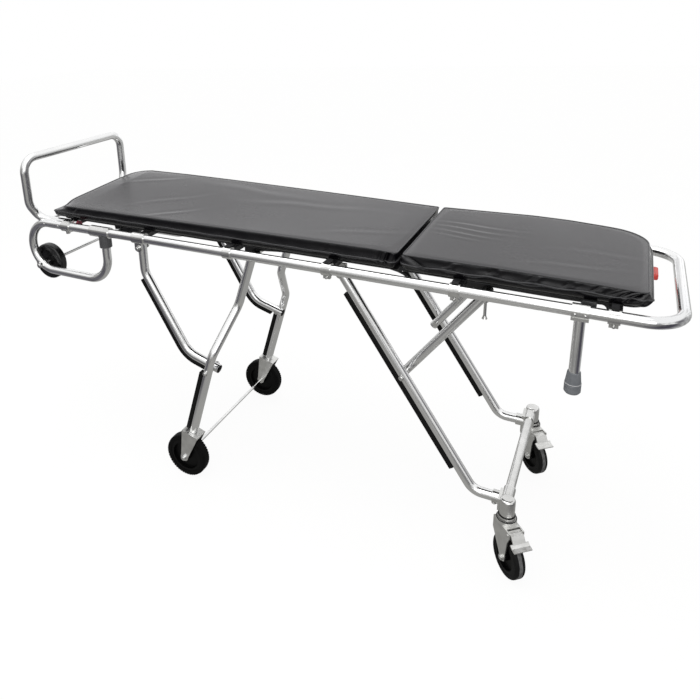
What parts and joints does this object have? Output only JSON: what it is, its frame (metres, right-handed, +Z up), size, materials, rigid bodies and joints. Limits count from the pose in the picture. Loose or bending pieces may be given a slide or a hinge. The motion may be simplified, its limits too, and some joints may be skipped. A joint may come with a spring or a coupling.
{
  "type": "mortuary cot stretcher",
  "caption": "Roll-in mortuary cot: tube frame with folding front and rear legs, loading wheels, swivel castors, push handle and a two-piece vinyl mattress.",
  "frame": {"origin": "on the floor, under the middle of the cot's bounding box", "axes": "+X to the operator's end, +Y to the far side, +Z up; the rails slope down 1.2 degrees towards +X"},
  "size_m": [2.0023, 0.596, 1.0565],
  "materials": {
    "polished_tube": "polished tube with fine drawing lines",
    "black_bracket": "black powder coat",
    "black_section": "black powder coat on aluminium sections and sheet",
    "steel_pin": "bright zinc plate",
    "zinc_pressing": "zinc plated pressing",
    "cast_aluminium": "cast, slightly rough",
    "black_vinyl": "coated fabric with fine grain over foam",
    "black_rubber": "moulded, matt",
    "bumper_rubber": "extruded strip",
    "grey_rubber": "moulded, matt",
    "black_plastic": "moulded",
    "red_plastic": "moulded"
  },
  "bodies": {
    "frame": {"side_rail_near": "polished_tube", "side_rail_far": "polished_tube", "end_loop": "polished_tube", "loading_loops": "polished_tube", "loading_axle": "steel_pin", "loop_collars": "black_bracket", "push_handle": "polished_tube", "handle_cross_rod": "polished_tube", "handle_clamps": "cast_aluminium", "handle_end_plugs": "red_plastic", "rail_clamps": "cast_aluminium", "cross_members": "black_section", "deck_long": "black_section", "hinge_pins": "steel_pin", "mattress_long": "black_vinyl", "post_saddles": "cast_aluminium", "support_posts": "polished_tube", "post_tips": "grey_rubber", "slide_tracks": "zinc_pressing", "rear_pivot_brackets": "zinc_pressing", "plunger_housing": "steel_pin", "release_guide": "black_bracket"},
    "loading_wheel_near": {"loading_wheel_near": "black_rubber"},
    "loading_wheel_far": {"loading_wheel_far": "black_rubber"},
    "front_braces": {"front_brace_near": "polished_tube", "front_brace_far": "polished_tube", "front_brace_strips": "bumper_rubber"},
    "front_legs": {"front_leg_near": "polished_tube", "front_leg_far": "polished_tube", "front_leg_strips": "bumper_rubber", "front_forks": "zinc_pressing", "front_axle": "steel_pin", "front_slide_rod": "steel_pin", "front_rollers": "black_plastic", "front_link_bolts": "steel_pin"},
    "front_wheel_near": {"front_tyre_near": "black_rubber", "front_hub_near": "black_plastic"},
    "front_wheel_far": {"front_tyre_far": "black_rubber", "front_hub_far": "black_plastic"},
    "rear_legs": {"rear_leg_near": "polished_tube", "rear_leg_far": "polished_tube", "rear_leg_strips": "bumper_rubber", "castor_castings": "cast_aluminium", "castor_cross_tube": "cast_aluminium", "rear_link_bolts": "steel_pin"},
    "rear_braces": {"rear_braces": "polished_tube", "rear_slide_rod": "steel_pin", "rear_rollers": "black_plastic"},
    "castor_near": {"castor_fork_near": "zinc_pressing"},
    "castor_far": {"castor_fork_far": "zinc_pressing"},
    "castor_wheel_near": {"castor_tyre_near": "black_rubber", "castor_hub_near": "black_plastic"},
    "castor_wheel_far": {"castor_tyre_far": "black_rubber", "castor_hub_far": "black_plastic"},
    "pedal_near": {"brake_pedal_near": "zinc_pressing"},
    "pedal_far": {"brake_pedal_far": "zinc_pressing"},
    "backrest": {"deck_short": "black_section", "mattress_short": "black_vinyl"},
    "plunger": {"lock_plunger": "steel_pin"},
    "release": {"release_handle": "red_plastic"}
  },
  "joints": [
    {"name": "front_fold", "type": "hinge", "parent": "frame", "child": "front_braces", "pos_m": [-0.50325, 0, 0.78284], "axis": [0, -1, 0], "range_deg": [0, 50]},
    {"name": "front_leg_link", "type": "hinge", "parent": "front_braces", "child": "front_legs", "pos_m": [-0.26712, 0, 0.40481], "axis": [0, 1, 0], "range_deg": [0, 116]},
    {"name": "rear_fold", "type": "hinge", "parent": "frame", "child": "rear_legs", "pos_m": [0.17181, 0, 0.7787], "axis": [0, -1, 0], "range_deg": [0, 46.4]},
    {"name": "rear_brace_link", "type": "hinge", "parent": "rear_legs", "child": "rear_braces", "pos_m": [0.34803, 0, 0.50095], "axis": [0, 1, 0], "range_deg": [0, 92]},
    {"name": "backrest_hinge", "type": "hinge", "parent": "frame", "child": "backrest", "pos_m": [0.34106, 0, 0.81297], "axis": [0, -1, 0], "range_deg": [0, 30]},
    {"name": "plunger_pull", "type": "slide", "parent": "frame", "child": "plunger", "axis": [-0.0209, 0, -0.9998], "range_m": [0, 0.012], "stiffness_N_per_m": 500, "springref_m": -0.006},
    {"name": "release_pull", "type": "slide", "parent": "frame", "child": "release", "axis": [0.9998, 0, -0.0209], "range_m": [0, 0.02], "stiffness_N_per_m": 400, "springref_m": -0.01},
    {"name": "loading_wheel_near_spin", "type": "hinge", "parent": "frame", "child": "loading_wheel_near", "pos_m": [-0.93761, -0.206, 0.6719], "axis": [0, 1, 0], "continuous": true},
    {"name": "front_wheel_near_spin", "type": "hinge", "parent": "front_legs", "child": "front_wheel_near", "pos_m": [-0.37505, -0.258, 0.075], "axis": [0, 1, 0], "continuous": true},
    {"name": "castor_near_swivel", "type": "hinge", "parent": "rear_legs", "child": "castor_near", "pos_m": [0.64323, -0.227, 0.1733], "axis": [0.0209, 0, 0.9998], "continuous": true},
    {"name": "castor_near_spin", "type": "hinge", "parent": "castor_near", "child": "castor_wheel_near", "pos_m": [0.65659, -0.24511, 0.059], "axis": [0.7545, 0.6561, -0.0158], "continuous": true},
    {"name": "pedal_near_press", "type": "hinge", "parent": "castor_near", "child": "pedal_near", "pos_m": [0.6702, -0.2587, 0.14473], "axis": [0.7545, 0.6561, -0.0158], "range_deg": [0, 12]},
    {"name": "loading_wheel_far_spin", "type": "hinge", "parent": "frame", "child": "loading_wheel_far", "pos_m": [-0.93761, 0.206, 0.6719], "axis": [0, 1, 0], "continuous": true},
    {"name": "front_wheel_far_spin", "type": "hinge", "parent": "front_legs", "child": "front_wheel_far", "pos_m": [-0.37505, 0.258, 0.075], "axis": [0, 1, 0], "continuous": true},
    {"name": "castor_far_swivel", "type": "hinge", "parent": "rear_legs", "child": "castor_far", "pos_m": [0.64323, 0.227, 0.1733], "axis": [0.0209, 0, 0.9998], "continuous": true},
    {"name": "castor_far_spin", "type": "hinge", "parent": "castor_far", "child": "castor_wheel_far", "pos_m": [0.65659, 0.20889, 0.059], "axis": [0.7545, 0.6561, -0.0158], "continuous": true},
    {"name": "pedal_far_press", "type": "hinge", "parent": "castor_far", "child": "pedal_far", "pos_m": [0.6702, 0.1953, 0.14473], "axis": [0.7545, 0.6561, -0.0158], "range_deg": [0, 12]}
  ],
  "couplings": [
    {"joint": "front_leg_link", "follows": "front_fold", "ratio": 2.3143},
    {"joint": "rear_brace_link", "follows": "rear_fold", "ratio": 1.9751}
  ]
}
